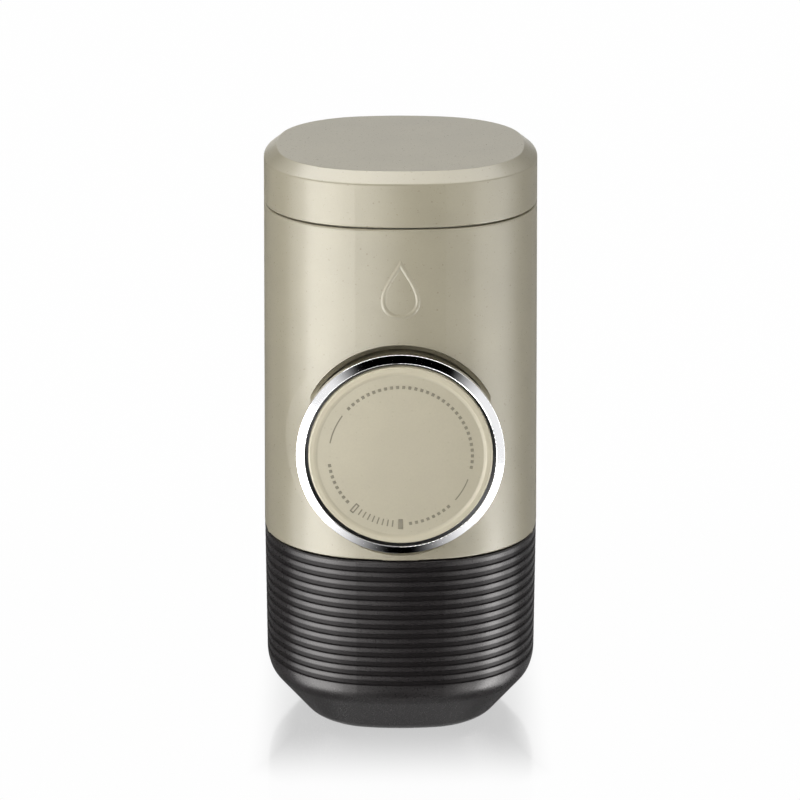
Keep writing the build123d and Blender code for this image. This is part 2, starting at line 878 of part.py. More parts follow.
def vent_valve():
    """The mushroom valve that lets air in above the water."""
    low = plug_top() - plug_web
    return turned(
        [
            (0, low - vent_head_height),
            (vent_head_radius, low - vent_head_height / 2),
            (vent_head_radius, low),
            (vent_stem_radius, low),
            (vent_stem_radius, plug_top()),
            (vent_stem_radius + vent_head_height, plug_top()),
            (vent_stem_radius, plug_top() + vent_head_height),
            (0, plug_top() + vent_head_height),
        ]
    )


def water_tank():
    """The liner that holds the water, hung by its rim on the body's ledge."""
    inner = tank_half()
    rim_half = shell_half(body_top) - shell_wall + tank_ledge_width - sliding_clearance
    rim_low = body_top - tank_ledge_depth
    section = face_of(
        [
            (core_half, tank_bottom),
            (inner + tank_wall, tank_bottom),
            (inner + tank_wall, rim_low),
            (rim_half, rim_low),
            (rim_half, body_top),
            (inner, body_top),
            (inner, tank_inside),
            (core_half, tank_inside),
        ]
    )
    section = rounded(section, (inner + tank_wall, tank_bottom), tank_wall)
    solid = ring_wall(section) + slab(core_half + overrun, tank_bottom, tank_inside)
    return solid - tower_place * drum(outlet_radius, tank_bottom - overrun, tank_inside + overrun)


def tank_seal():
    """The soft ring between the tank's floor and the inlet tower."""
    return tower_place * tube(outlet_radius, tower_radius - seat_clearance, tower_top, tank_bottom)


def tank_strainer():
    """The perforated disc over the tank's outlet."""
    solid = drum(strainer_radius, tank_inside, tank_inside + strainer_height)
    solid -= drum(outlet_radius, tank_inside, tank_inside + strainer_height / 2)
    hole = drum(strainer_hole_radius, tank_inside - overrun, tank_inside + overrun)
    spread = outlet_radius - strainer_hole_radius - strainer_hole_inset
    for place in around(strainer_hole_count, spread):
        solid -= place * hole
    return tower_place * solid


def chamber_screw_places():
    """Screws up through the chamber's flange into the bulkhead."""
    z = chamber_top - chamber_flange_height
    return [Pos(0, 0, z) * place for place in around(chamber_screw_count, chamber_screw_radius)]


def capsule_chamber():
    """The tapered pot that takes the capsule, with its flange and bayonet lugs."""
    foot_top = chamber_bottom + chamber_foot_height
    recess_top = chamber_bottom + capsule_rim_depth
    flange_low = chamber_top - chamber_flange_height
    solid = turned(
        [
            (capsule_rim_radius, chamber_bottom),
            (chamber_foot_radius, chamber_bottom),
            (chamber_foot_radius, foot_top),
            (chamber_radius, foot_top + chamber_wall),
            (chamber_radius, flange_low),
            (chamber_flange_radius, flange_low),
            (chamber_flange_radius, chamber_top),
            (piercer_radius, chamber_top),
            (piercer_radius, piercer_bottom),
            (capsule_nose_radius, piercer_bottom),
            (capsule_mouth_radius, recess_top),
            (capsule_rim_radius, recess_top),
        ]
    )
    root = chamber_foot_radius - bayonet_lug_height
    lug = [(root, lug_low), (bayonet_radius, lug_low), (bayonet_radius, lug_high), (root, lug_high)]
    for step in range(bayonet_lug_count):
        start = 90 + 360 * step / bayonet_lug_count - bayonet_lug_arc / 2
        solid += Rot(0, 0, start) * turned(lug, bayonet_lug_arc)
    groove_radius = chamber_seal_wire / 2 + seat_clearance
    groove_inner = chamber_seal_radius - groove_radius
    groove_outer = chamber_seal_radius + groove_radius
    solid -= tube(groove_inner, groove_outer, chamber_top - chamber_seal_wire, chamber_top + overrun)
    for place in chamber_screw_places():
        solid -= place * screw_hole(chamber_flange_height + overrun)
    return solid


def chamber_seal():
    """The sealing ring between the chamber and the bulkhead."""
    wire = chamber_seal_wire / 2
    return Pos(0, 0, chamber_top - wire) * Torus(chamber_seal_radius, wire)


def piercing_plate():
    """The steel plate whose needles open the capsule's nose."""
    solid = drum(piercer_radius - seat_clearance, piercer_bottom, chamber_top)
    needle_tip = piercer_bottom - needle_length
    shank = [(0, chamber_top), (needle_radius, chamber_top), (needle_radius, piercer_bottom)]
    needle = turned([*shank, (0, needle_tip)])
    for place in around(needle_count, needle_spread):
        solid += place * needle
    hole = drum(piercer_hole_radius, piercer_bottom - overrun, chamber_top + overrun)
    for place in around(piercer_hole_count, piercer_hole_spread):
        solid -= place * hole
    return solid


def outlet_core():
    """The disc under the capsule, funnelled to the nozzle."""
    seat_z = core_top - grid_thickness
    return turned(
        [
            (nozzle_radius + seat_clearance, core_bottom),
            (core_flange_radius, core_bottom),
            (core_flange_radius, core_top),
            (grid_radius + seat_clearance, core_top),
            (grid_radius + seat_clearance, seat_z),
            (nozzle_radius + seat_clearance, seat_z),
        ]
    )


def outlet_grid():
    """The toothed plate that the capsule's foil bursts on."""
    low = core_top - grid_thickness
    solid = drum(grid_radius, low, core_top)
    tooth = loft(
        [
            Pos(0, 0, core_top) * Rectangle(2 * grid_tooth_half, 2 * grid_tooth_half),
            Pos(0, 0, core_top + grid_tooth_height) * Rectangle(2 * grid_tooth_tip, 2 * grid_tooth_tip),
        ]
    )
    hole = drum(grid_hole_radius, low - overrun, core_top + overrun)
    steps = int(grid_radius / grid_pitch)
    rows = [grid_pitch * step for step in range(-steps, steps + 1)]
    places = [(x, y) for x in rows for y in rows]
    reach = grid_radius - grid_tooth_half * sqrt(2)
    for x, y in places:
        if sqrt(x**2 + y**2) < reach:
            solid += Pos(x, y, 0) * tooth
        if sqrt((x + grid_pitch / 2) ** 2 + (y + grid_pitch / 2) ** 2) < reach:
            solid -= Pos(x + grid_pitch / 2, y + grid_pitch / 2, 0) * hole
    return solid


def head_gasket():
    """The soft ring that seals on the capsule's rim."""
    return tube(gasket_inner_radius, gasket_outer_radius, core_top, chamber_bottom - seat_clearance)


def outlet_nozzle():
    """The spout in the middle of the core."""
    top = core_top - grid_thickness - seat_clearance
    low = core_bottom - nozzle_length
    return tube(nozzle_bore, nozzle_radius, low, top)


def lock_nut():
    """The hand nut round the core; its lugs pass between the chamber's and turn in above them."""
    solid = turned(
        [
            (nut_mouth_radius, nut_bottom),
            (nut_radius, nut_bottom),
            (nut_radius, nut_top),
            (nut_bore, nut_top),
            (nut_bore, core_bottom - seat_clearance),
            (nut_mouth_radius, core_bottom - seat_clearance),
        ]
    )
    lug_inner = chamber_foot_radius + sliding_clearance
    lug_root = nut_bore + nut_wall / 2
    lug = [(lug_inner, nut_lug_low), (lug_root, nut_lug_low), (lug_root, nut_top), (lug_inner, nut_top)]
    for step in range(bayonet_lug_count):
        start = 90 + 360 * (step + 1 / 2) / bayonet_lug_count - bayonet_lug_arc / 2
        solid += Rot(0, 0, start) * turned(lug, bayonet_lug_arc)
    grip = drum(nut_grip_radius, nut_bottom - overrun, nut_top + overrun)
    for place in around(nut_grip_count, nut_radius):
        solid -= place * grip
    return solid


nodes = {}
nodes["body_shell"] = body_shell()
nodes["knob_guide"] = knob_guide()
nodes["knob_skirt"] = knob_skirt()
nodes["knob_ring"] = knob_ring()
nodes["knob_disc"] = knob_disc()
nodes["piston_rod"] = piston_rod()
nodes["piston_seal"] = piston_seal()
nodes["knob_clip"] = knob_clip()
nodes["piston_spring"] = piston_spring()
nodes["pump_block"] = pump_block()
nodes["rod_gland"] = rod_gland()
nodes["inlet_seat"] = valve_insert(inlet_seat_z)
nodes["inlet_ball"] = valve_ball(inlet_seat_z)
nodes["inlet_spring"] = valve_spring("inlet_spring", inlet_seat_z, inlet_ledge_z, inlet_spring_turns)
nodes["outlet_retainer"] = valve_insert(bulkhead_top)
nodes["outlet_ball"] = valve_ball(outlet_seat_z)
nodes["outlet_spring"] = valve_spring("outlet_spring", outlet_seat_z, outlet_ledge_z, outlet_spring_turns)
nodes["bulkhead"] = bulkhead()
nodes["cup_seal"] = cup_seal()
nodes["cup"] = cup()
nodes["lid_shell"] = lid_shell()
nodes["lid_plug"] = lid_plug()
nodes["lid_gasket"] = lid_gasket()
nodes["vent_valve"] = vent_valve()
nodes["water_tank"] = water_tank()
nodes["tank_seal"] = tank_seal()
nodes["tank_strainer"] = tank_strainer()
nodes["capsule_chamber"] = capsule_chamber()
nodes["chamber_seal"] = chamber_seal()
nodes["piercing_plate"] = piercing_plate()
nodes["outlet_core"] = outlet_core()
nodes["outlet_grid"] = outlet_grid()
nodes["head_gasket"] = head_gasket()
nodes["outlet_nozzle"] = outlet_nozzle()
nodes["lock_nut"] = lock_nut()
for number, (x, y) in enumerate(post_places, 1):
    nodes[f"bulkhead_screw_{number}"] = Pos(x, y, bulkhead_bottom) * screw(bulkhead_plate + screw_grip)
for number, place in enumerate(pump_screw_places(), 1):
    nodes[f"pump_screw_{number}"] = place * screw(screw_grip)
for number, place in enumerate(chamber_screw_places(), 1):
    nodes[f"chamber_screw_{number}"] = place * screw(chamber_flange_height + short_screw_grip)
for number, place in enumerate(lid_screw_places(), 1):
    nodes[f"lid_screw_{number}"] = place * screw(plug_web + screw_grip)

os.makedirs("parts", exist_ok=True)
for name, solid in nodes.items():
    export_step(solid, f"parts/{name}.step")
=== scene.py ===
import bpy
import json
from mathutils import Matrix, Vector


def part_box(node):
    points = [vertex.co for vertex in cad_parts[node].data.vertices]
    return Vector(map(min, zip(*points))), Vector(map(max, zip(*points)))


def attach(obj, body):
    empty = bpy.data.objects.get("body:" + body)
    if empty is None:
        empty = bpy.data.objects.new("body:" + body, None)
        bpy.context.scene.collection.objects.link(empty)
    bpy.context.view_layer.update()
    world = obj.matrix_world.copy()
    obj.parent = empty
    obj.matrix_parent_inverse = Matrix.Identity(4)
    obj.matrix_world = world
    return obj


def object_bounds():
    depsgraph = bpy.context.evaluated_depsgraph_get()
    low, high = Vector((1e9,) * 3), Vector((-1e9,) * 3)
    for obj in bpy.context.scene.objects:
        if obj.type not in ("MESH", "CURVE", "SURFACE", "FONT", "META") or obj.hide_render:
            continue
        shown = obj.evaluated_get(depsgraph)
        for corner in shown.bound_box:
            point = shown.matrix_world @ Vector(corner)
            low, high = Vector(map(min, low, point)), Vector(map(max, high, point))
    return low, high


bl_info = {
    "name": "Portable capsule coffee maker",
    "version": (1, 0, 0),
    "blender": (4, 5, 0),
    "location": "View3D > Sidebar > Coffee maker",
    "description": "Finishes, dial marks and studio stage of a hand-pumped capsule coffee maker",
    "category": "Object",
}

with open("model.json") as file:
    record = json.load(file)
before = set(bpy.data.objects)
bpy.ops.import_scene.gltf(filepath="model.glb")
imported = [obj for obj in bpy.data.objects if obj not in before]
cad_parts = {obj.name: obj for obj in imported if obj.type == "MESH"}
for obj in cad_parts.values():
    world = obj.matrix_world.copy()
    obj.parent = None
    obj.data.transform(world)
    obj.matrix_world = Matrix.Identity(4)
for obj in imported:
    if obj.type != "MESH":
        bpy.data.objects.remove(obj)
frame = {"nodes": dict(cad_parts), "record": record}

import json
from math import cos, pi, radians, sin, tan

import bpy
from bpy.props import FloatProperty, FloatVectorProperty, IntProperty, PointerProperty
from mathutils import Matrix, Vector

MM = 0.001
MERGE_DISTANCE = 0.002 * MM
WHITE = (1.0, 1.0, 1.0, 1.0)
BLACK = (0.0, 0.0, 0.0, 1.0)
NODES = frame["nodes"]
SLOT_OF = {row["node"]: row["material_slot"] for row in frame["record"]["subparts"]}
CAD_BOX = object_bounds()


def colour(name, description, default):
    return FloatVectorProperty(
        name=name, description=description, subtype="COLOR", size=3, min=0.0, max=1.0, default=default
    )


def length(name, description, default):
    return FloatProperty(
        name=name, description=description, subtype="DISTANCE", unit="LENGTH", default=default, precision=5
    )


def angle(name, description, default):
    return FloatProperty(
        name=name, description=description, subtype="ANGLE", unit="ROTATION", default=default
    )


def power(name, description, default):
    return FloatProperty(name=name, description=description, unit="POWER", default=default)


class MakerColours(bpy.types.PropertyGroup):
    """Colours of the finishes."""

    sand: colour("Sand", "Plastic of the body, lid and knob", (0.368, 0.335, 0.246))
    fleck: colour("Fleck", "Plant fibres in the sand plastic", (0.205, 0.175, 0.120))
    charcoal: colour("Charcoal", "Plastic of the cup", (0.0135, 0.0120, 0.0122))
    chrome: colour("Chrome", "Ring round the knob", (0.86, 0.86, 0.87))
    steel: colour("Steel", "Screws, springs, balls and plates", (0.56, 0.56, 0.55))
    inner_plastic: colour("Inner plastic", "Pump, chamber and locking pieces", (0.030, 0.030, 0.031))
    tank_plastic: colour("Tank plastic", "Water tank", (0.40, 0.41, 0.40))
    silicone: colour("Silicone", "Gaskets and valve leaves", (0.52, 0.51, 0.48))
    seal_rubber: colour("Seal rubber", "Round seals", (0.035, 0.033, 0.032))
    mark: colour("Dial marks", "Fine marks on the knob", (0.215, 0.195, 0.147))


class MakerDial(bpy.types.PropertyGroup):
    """Sizes of the marks on the knob."""

    radius: length("Mark radius", "Radius of the ring of marks", 15.6 * MM)
    height: length("Mark height", "How far a mark stands off the knob", 0.07 * MM)
    line: length("Line width", "Width of the thin arcs", 0.26 * MM)
    tick_long: length("Tick length", "Length of a tick of the scale", 1.5 * MM)
    tick_wide: length("Tick width", "Width of a tick of the scale", 0.28 * MM)
    bar_wide: length("Bar width", "Width of the bars at the ends of the scale", 1.0 * MM)
    bar_long: length("Bar length", "Length of the bars at the ends of the scale", 2.3 * MM)
    ticks: IntProperty(name="Ticks", description="Ticks between the two bars", default=8, min=2)
    dots: IntProperty(name="Dots", description="Dots of the upper arc", default=31, min=3)
    side_dots: IntProperty(name="Side dots", description="Dots on each side of the scale", default=8, min=2)
    dot_pitch: angle("Dot pitch", "Turn from one dot to the next", radians(4.85))
    dot: length("Dot size", "Width of a dot", 0.68 * MM)
    scale_start: angle("Scale start", "Place of the closed bar, clockwise from the top", radians(180))
    scale_end: angle("Scale end", "Place of the open bar, clockwise from the top", radians(220))


class MakerDrop(bpy.types.PropertyGroup):
    """Sizes of the raised drop on the front."""

    height: length("Drop height", "Height of the drop", 13.5 * MM)
    width: length("Drop width", "Width of the drop", 8.6 * MM)
    band: length("Band width", "Width of the raised line", 1.15 * MM)
    relief: length("Relief", "How far the line stands off the body", 0.22 * MM)
    centre: length("Drop place", "Height of the drop's middle above the floor", 106.6 * MM)


class MakerCup(bpy.types.PropertyGroup):
    """Places of the cup's grooves, which are drawn less glossy than its ribs as painted shade."""

    top_groove: length("Top groove", "Height of the top groove above the floor", 42.43 * MM)
    low_groove: length("Low groove", "Height of the lowest groove above the floor", 15.55 * MM)
    grooves: IntProperty(name="Grooves", description="Grooves round the cup", default=13, min=2)
    # Painted shade: a band of lower gloss in each groove, its half width and its fade
    shaded: length("Dull width", "Half the width of the dull band", 0.42 * MM)
    fade: length("Dull fade", "Width over which the band fades out", 0.45 * MM)


class MakerStage(bpy.types.PropertyGroup):
    """Camera and light of the studio."""

    lens: FloatProperty(name="Lens", description="Focal length on a 36 mm sensor", default=156.3, min=10.0)
    distance: length("Camera distance", "How far the camera stands before the middle", 0.75135)
    camera_height: length("Camera height", "Height of the camera above the floor", 0.3054)
    tilt: angle("Camera tilt", "Turn of the camera up from straight down", radians(72.76))
    shift: FloatProperty(name="Shift", description="Sideways shift of the picture", default=-0.0007)
    left_power: power("Left light", "Power of the left softbox", 0.64)
    right_power: power("Right light", "Power of the right softbox", 0.8)
    top_power: power("Top light", "Power of the top softbox", 0.9)
    ambient: FloatProperty(name="Ambient", description="Strength of the even light", default=0.22, min=0.0)
    floor: colour("Floor", "Plain pale floor", (0.92, 0.92, 0.92))


def only(obj):
    """Select one object alone and make it active."""
    bpy.ops.object.select_all(action="DESELECT")
    obj.select_set(True)
    bpy.context.view_layer.objects.active = obj


def settle(obj, name):
    """Put an object's place into its mesh and name it."""
    only(obj)
    bpy.ops.object.transform_apply(location=True, rotation=True, scale=True)
    obj.name = name
    obj.data.name = name
    return obj


def edit(obj, *steps):
    """Run edit-mode steps on the whole of one mesh."""
    only(obj)
    bpy.ops.object.mode_set(mode="EDIT")
    bpy.ops.mesh.select_all(action="SELECT")
    for step in steps:
        step()
    bpy.ops.object.mode_set(mode="OBJECT")


def tidy_faces(obj):
    """Merge doubles and turn all faces outwards."""
    edit(
        obj,
        lambda: bpy.ops.mesh.remove_doubles(threshold=MERGE_DISTANCE),
        lambda: bpy.ops.mesh.normals_make_consistent(inside=False),
    )


def joined(objects, name):
    """Join several meshes into one piece."""
    bpy.ops.object.select_all(action="DESELECT")
    for obj in objects:
        obj.select_set(True)
    bpy.context.view_layer.objects.active = objects[0]
    bpy.ops.object.join()
    return settle(objects[0], name)


def copy_of(obj):
    """A copy with its own mesh."""
    twin = obj.copy()
    twin.data = obj.data.copy()
    bpy.context.collection.objects.link(twin)
    return twin


def node(tree, kind, inputs=(), **settings):
    """A new node, with its settings made and its inputs linked or filled."""
    made = tree.nodes.new(kind)
    for key, value in settings.items():
        setattr(made, key, value)
    for key, value in dict(inputs).items():
        if isinstance(value, bpy.types.NodeSocket):
            tree.links.new(value, made.inputs[key])
        else:
            made.inputs[key].default_value = value
    return made


def calculated(tree, operation, first, second=0.0):
    """One step of arithmetic."""
    return node(tree, "ShaderNodeMath", {0: first, 1: second}, operation=operation).outputs[0]


def ranged(tree, value, low, high, to_low=0.0, to_high=1.0, blend="LINEAR"):
    """A value moved from one range to another and held at its ends."""
    levels = {"Value": value, "From Min": low, "From Max": high, "To Min": to_low, "To Max": to_high}
    return node(tree, "ShaderNodeMapRange", levels, interpolation_type=blend).outputs["Result"]


def object_place(tree):
    """Place of a point in the piece's own coordinates."""
    return tree.nodes.new("ShaderNodeTexCoord").outputs["Object"]


def place_along(tree, place, axis):
    """Place of a point along one axis."""
    return node(tree, "ShaderNodeSeparateXYZ", {"Vector": place}).outputs[axis]


def shade(rgb, factor):
    """A darker or lighter tone of a colour."""
    return tuple(min(1.0, part * factor) for part in rgb)


# Levels between which most of a noise pattern lies, closely and widely
CLOSE_LEVELS = (0.3, 0.7)
WIDE_LEVELS = (0.2, 0.8)
# Sockets of a mix node for the share and the two colours, and for the colour that comes out
MIX_INPUTS = (0, 6, 7)
MIX_OUTPUT = 2
# Keeps the part of a place that lies square to a level axis from front to back
SQUARE_TO_AXIS = (1.0, 0.0, 1.0)


class Finish:
    """A procedural material in the making, on the piece's own coordinates."""

    def __init__(self, name):
        self.material = bpy.data.materials.new(name)
        self.material.use_nodes = True
        self.tree = self.material.node_tree
        self.shader = self.tree.nodes["Principled BSDF"]
        self.place = object_place(self.tree)

    def set(self, **values):
        """Fill inputs of the shader, named with _ for a space."""
        for socket, value in values.items():
            self.shader.inputs[socket.replace("_", " ")].default_value = value

    def link(self, source, socket):
        """Join a pattern to an input of the shader."""
        self.tree.links.new(source, self.shader.inputs[socket])

    def node(self, kind, inputs=(), **settings):
        return node(self.tree, kind, inputs, **settings)

    def calculate(self, operation, first, second):
        return calculated(self.tree, operation, first, second)

    def spread(self, value, low, high, to_low=0.0, to_high=1.0):
        return ranged(self.tree, value, low, high, to_low, to_high)

    def along(self, axis):
        return place_along(self.tree, self.place, axis)

    def from_axis(self, middle):
        """Distance of a point from a level axis that runs from front to back."""
        shifted = self.node("ShaderNodeVectorMath", {0: self.place, 1: tuple(middle)}, operation="SUBTRACT")
        square = {0: shifted.outputs[0], 1: SQUARE_TO_AXIS}
        flat = self.node("ShaderNodeVectorMath", square, operation="MULTIPLY")
        return self.node("ShaderNodeVectorMath", {0: flat.outputs[0]}, operation="LENGTH").outputs["Value"]

    def noise(self, scale, detail=2.0, vector=None):
        """A cloudy pattern."""
        inputs = {"Vector": vector or self.place, "Scale": scale, "Detail": detail}
        return self.node("ShaderNodeTexNoise", inputs).outputs["Fac"]

    def streaks(self, scale, detail):
        """A cloudy pattern with a scale of its own along each axis."""
        drawn = self.node("ShaderNodeMapping", {"Vector": self.place, "Scale": scale})
        return self.noise(1.0, detail, drawn.outputs["Vector"])

    def mix(self, share, *colours):
        """A second colour laid over a first by a share."""
        full = [rgb if isinstance(rgb, bpy.types.NodeSocket) else (*rgb, 1.0) for rgb in colours]
        inputs = dict(zip(MIX_INPUTS, (share, *full)))
        return self.node("ShaderNodeMix", inputs, data_type="RGBA").outputs[MIX_OUTPUT]

    def toned(self, pattern, rgb, dark, light):
        """A colour that drifts between two tones of itself with a pattern."""
        return self.mix(self.spread(pattern, *CLOSE_LEVELS), shade(rgb, dark), shade(rgb, light))

    def grained(self, pattern, ground, rgb, strength):
        """A ground with a little of another colour where a pattern is high."""
        return self.mix(self.spread(pattern, *CLOSE_LEVELS, to_high=strength), ground, rgb)

    def roughen(self, pattern, rough, swing):
        """Roughness that swings round a middle value with a pattern."""
        self.link(self.spread(pattern, *WIDE_LEVELS, rough - swing, rough + swing), "Roughness")

    def bump(self, pattern, strength, depth):
        """Fine relief that follows a pattern."""
        made = self.node("ShaderNodeBump", {"Height": pattern, "Strength": strength, "Distance": depth})
        self.link(made.outputs["Normal"], "Normal")

    def recolour(self, share, rgb):
        """Lay another colour over the finish where a share says."""
        under = self.shader.inputs["Base Color"].links[0].from_socket
        self.link(self.mix(share, under, rgb), "Base Color")
        return self

    def give_to(self, *names):
        """Make this the only material of the named pieces."""
        for name in names:
            NODES[name].data.materials.clear()
            NODES[name].data.materials.append(self.material)


# Fineness of the patterns, in features per metre; three values are for the three axes
SAND_CLOUDS = 90.0
SAND_FLECKS = 740.0
SAND_FIBRES = (900.0, 900.0, 2600.0)
SAND_GRAIN = 2400.0
CUP_CLOUDS = 110.0
CUP_GRAIN = 2600.0
CHROME_SMEAR = 160.0
STEEL_LINES = (3500.0, 3500.0, 260.0)
MOULDED_CLOUDS = 140.0
MOULDED_GRAIN = 1900.0
SEAL_BLOOM = 420.0
SEAL_GRAIN = 2600.0
INK_WEAR = 1300.0
# How far the bloom on a seal changes its roughness
BLOOM_SWING = 0.06
# Gloss of the cup: its ribs, its grooves, lower there as painted shade, and its tint
RIB_GLOSS = 0.42
GROOVE_SHADE_GLOSS = 0.10
WARM_TINT = (1.0, 0.97, 0.96, 1.0)
# Share of half a pitch beyond the first and last groove at which the painted shade bands are whole
SHADE_BAND_END = 0.9


def sand_plastic(colours, name, tone=1.0, gloss=0.7, rough=0.30, speck=1.0):
    """Satin plastic with plant fibres: fine dark flecks on a soft, slightly clouded ground."""
    finish = Finish(name)
    clouds = finish.noise(SAND_CLOUDS, detail=3.0)
    ground = finish.toned(clouds, colours.sand, dark=0.965 * tone, light=1.035 * tone)
    cells = finish.node("ShaderNodeTexVoronoi", {"Vector": finish.place, "Scale": SAND_FLECKS})
    dots = finish.spread(cells.outputs["Distance"], low=0.10, high=0.17, to_low=1.0, to_high=0.0)
    chosen = finish.node("ShaderNodeSeparateColor", {"Color": cells.outputs["Color"]})
    few = finish.spread(chosen.outputs["Red"], low=0.56, high=0.60)
    weight = finish.spread(chosen.outputs["Green"], 0.0, 1.0, to_low=0.15 * speck, to_high=0.6 * speck)
    flecks = finish.calculate("MULTIPLY", finish.calculate("MULTIPLY", dots, few), weight)
    fibres = finish.streaks(SAND_FIBRES, detail=2.0)
    threads = finish.spread(fibres, low=0.70, high=0.76, to_high=0.35 * speck)
    grain = finish.noise(SAND_GRAIN)
    dust = finish.spread(grain, low=0.35, high=0.65, to_high=0.06)
    dusted = finish.mix(dust, ground, shade(colours.sand, 0.6))
    speckled = finish.mix(flecks, dusted, colours.fleck)
    finish.link(finish.mix(threads, speckled, colours.fleck), "Base Color")
    finish.set(Specular_IOR_Level=gloss)
    finish.roughen(grain, rough, swing=0.04)
    finish.bump(grain, strength=0.10, depth=0.06 * MM)
    return finish


def groove_shade(finish, cup):
    """Share of painted shade: one in the cup's grooves, fading to nothing on its ribs."""
    height = finish.along("Z")
    pitch = (cup.top_groove - cup.low_groove) / (cup.grooves - 1)
    below_top = finish.calculate("SUBTRACT", height, cup.top_groove)
    away = finish.calculate("PINGPONG", below_top, pitch / 2)
    band = finish.spread(away, cup.shaded, cup.shaded + cup.fade, to_low=1.0, to_high=0.0)
    for edge, way in ((cup.top_groove, pitch / 2), (cup.low_groove, -pitch / 2)):
        inside = finish.spread(height, edge + way, edge + way * SHADE_BAND_END)
        band = finish.calculate("MULTIPLY", band, inside)
    return band


def charcoal_plastic(colours, cup):
    """Dark satin plastic with a faint moulded grain, and less gloss in its grooves as painted shade."""
    finish = Finish("charcoal_plastic")
    clouds = finish.noise(CUP_CLOUDS, detail=3.0)
    grain = finish.noise(CUP_GRAIN)
    ground = finish.toned(clouds, colours.charcoal, dark=0.9, light=1.1)
    grained = finish.grained(grain, ground, shade(colours.charcoal, 1.5), strength=0.25)
    finish.link(grained, "Base Color")
    finish.set(Specular_Tint=WARM_TINT)
    # Painted shade: the grooves get less gloss, so that they read darker than the ribs
    gloss = finish.spread(groove_shade(finish, cup), 0.0, 1.0, RIB_GLOSS, GROOVE_SHADE_GLOSS)
    finish.link(gloss, "Specular IOR Level")
    finish.roughen(grain, rough=0.29, swing=0.04)
    finish.bump(grain, strength=0.08, depth=0.05 * MM)
    return finish


def bright_chrome(colours):
    """Mirror plating with the faintest smear."""
    finish = Finish("bright_chrome")
    finish.set(Metallic=1.0)
    smear = finish.noise(CHROME_SMEAR, detail=3.0)
    finish.link(finish.toned(smear, colours.chrome, dark=0.98, light=1.0), "Base Color")
    finish.link(finish.spread(smear, *CLOSE_LEVELS, to_low=0.05, to_high=0.09), "Roughness")
    return finish


def drawn_steel(colours):
    """Stainless steel with fine draw lines."""
    finish = Finish("drawn_steel")
    finish.set(Metallic=1.0)
    lines = finish.streaks(STEEL_LINES, detail=3.0)
    finish.link(finish.toned(lines, colours.steel, dark=0.85, light=1.1), "Base Color")
    finish.roughen(lines, rough=0.29, swing=0.07)
    finish.bump(lines, strength=0.10, depth=0.03 * MM)
    return finish


def moulded_plastic(name, rgb, rough):
    """Plain moulded plastic with a faint grain."""
    finish = Finish(name)
    clouds = finish.noise(MOULDED_CLOUDS, detail=3.0)
    grain = finish.noise(MOULDED_GRAIN)
    ground = finish.toned(clouds, rgb, dark=0.93, light=1.07)
    finish.link(finish.grained(grain, ground, shade(rgb, 1.25), strength=0.2), "Base Color")
    finish.roughen(grain, rough, swing=0.05)
    finish.bump(grain, strength=0.10, depth=0.06 * MM)
    return finish


def soft_seal(name, rgb, rough):
    """Moulded rubber or silicone with a dusty bloom."""
    finish = Finish(name)
    finish.set(Sheen_Weight=0.25, Sheen_Roughness=0.4)
    bloom = finish.spread(finish.noise(SEAL_BLOOM, detail=4.0), low=0.35, high=0.7)
    finish.link(finish.mix(bloom, shade(rgb, 0.92), shade(rgb, 1.18)), "Base Color")
    finish.link(finish.spread(bloom, 0.0, 1.0, rough - BLOOM_SWING, rough + BLOOM_SWING), "Roughness")
    finish.bump(finish.noise(SEAL_GRAIN), strength=0.08, depth=0.05 * MM)
    return finish


def mark_ink(colours):
    """Fine filled marks, a darker tone of the knob."""
    finish = Finish("mark_ink")
    wear = finish.noise(INK_WEAR, detail=3.0)
    worn = finish.spread(wear, low=0.35, high=0.75)
    finish.link(finish.mix(worn, colours.mark, shade(colours.sand, 0.72)), "Base Color")
    finish.roughen(wear, rough=0.50, swing=0.08)
    return finish


def with_slot(*slots):
    """Names of the pieces that take one of these finishes."""
    names = [name for name in NODES if SLOT_OF[name] in slots]
    if not names:
        raise RuntimeError(f"no piece takes the finish {slots}")
    return names


# How far behind its front edge the skirt carries painted shade for the gap round the disc, full and then
# gone
SKIRT_SHADE_FULL = 0.5 * MM
SKIRT_SHADE_END = 0.7 * MM
# How far inside the disc's edge its painted highlight starts, and is full: a lighter rim where the edge
# catches the light
RIM_HIGHLIGHT_START = 1.9 * MM
RIM_HIGHLIGHT_FULL = 1.3 * MM
RIM_HIGHLIGHT_SHARE = 0.85
RIM_HIGHLIGHT_TONE = 1.50


class MAKER_OT_sand_shells(bpy.types.Operator):
    """Give the body, lid and knob their flecked sand plastic"""

    bl_idname = "maker.sand_shells"
    bl_label = "Sand shells"

    def execute(self, context):
        colours = context.scene.maker_colours
        sand_plastic(colours, "sand_plastic").give_to(*with_slot("sand"))
        skirt = sand_plastic(colours, "skirt_plastic")
        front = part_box("knob_skirt")[0].y
        # Painted shade: the front of the skirt is dark where the gap between the ring and the disc lies in
        # shade
        gap = skirt.spread(skirt.along("Y"), front + SKIRT_SHADE_FULL, front + SKIRT_SHADE_END, 1.0, 0.0)
        skirt.recolour(gap, colours.inner_plastic).give_to("knob_skirt")
        disc = sand_plastic(colours, "disc_plastic", tone=1.26, gloss=1.0, rough=0.40, speck=0.4)
        low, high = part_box("knob_disc")
        reach = disc.from_axis((low + high) / 2)
        edge = (high.x - low.x) / 2
        # Painted highlight: the disc's rim is drawn lighter, as light caught by its edge
        rim_highlight = disc.spread(reach, edge - RIM_HIGHLIGHT_START, edge - RIM_HIGHLIGHT_FULL, to_high=RIM_HIGHLIGHT_SHARE)
        disc.recolour(rim_highlight, shade(colours.sand, RIM_HIGHLIGHT_TONE)).give_to("knob_disc")
        return {"FINISHED"}


